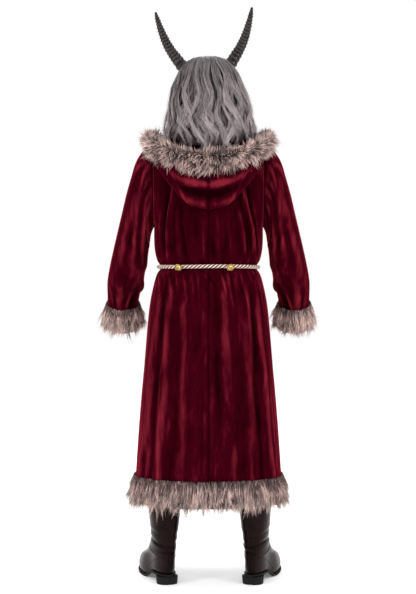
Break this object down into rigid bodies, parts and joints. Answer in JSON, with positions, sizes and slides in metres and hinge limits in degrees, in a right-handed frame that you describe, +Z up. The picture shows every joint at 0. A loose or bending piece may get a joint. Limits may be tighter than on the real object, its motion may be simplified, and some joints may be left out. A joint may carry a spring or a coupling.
{
  "type": "horned winter devil costume",
  "caption": "Hooded velvet robe with long fur trim, rope belt with small bells, long wig with ringed horns, and tall boots, standing as worn.",
  "frame": {"origin": "middle of the wearer's shoulders, level with the robe's neckline", "axes": "+Z up, the front faces -Y, the wearer's left is +X"},
  "size_m": [0.7781, 0.4569, 2.0172],
  "materials": {
    "velvet": "crushed velvet with a changing nap",
    "fur": "long grey-brown imitation fur with pale tips",
    "rope": "thick twisted off-white cord",
    "brass": "polished thin brass",
    "hair": "long wavy grey wig fibre",
    "horn": "near-black ringed horn with a dull shine",
    "leather": "dark brown-black satin leather",
    "sole": "black sole and stacked heel"
  },
  "bodies": {
    "root": {"robe_back_left": "velvet", "robe_front_left": "velvet", "sleeve_left": "velvet", "cuff_fur_left": "fur", "hood_left": "velvet", "hood_fur_left": "fur", "boot_upper_left": "leather", "boot_sole_left": "sole", "boot_heel_left": "sole", "belt_bell_left": "brass", "belt_end_left": "rope", "horn_left": "horn", "robe_back_right": "velvet", "robe_front_right": "velvet", "sleeve_right": "velvet", "cuff_fur_right": "fur", "hood_right": "velvet", "hood_fur_right": "fur", "boot_upper_right": "leather", "boot_sole_right": "sole", "boot_heel_right": "sole", "belt_bell_right": "brass", "belt_end_right": "rope", "horn_right": "horn", "hem_fur": "fur", "belt_rope": "rope", "belt_knot": "rope", "wig": "hair"}
  },
  "joints": []
}
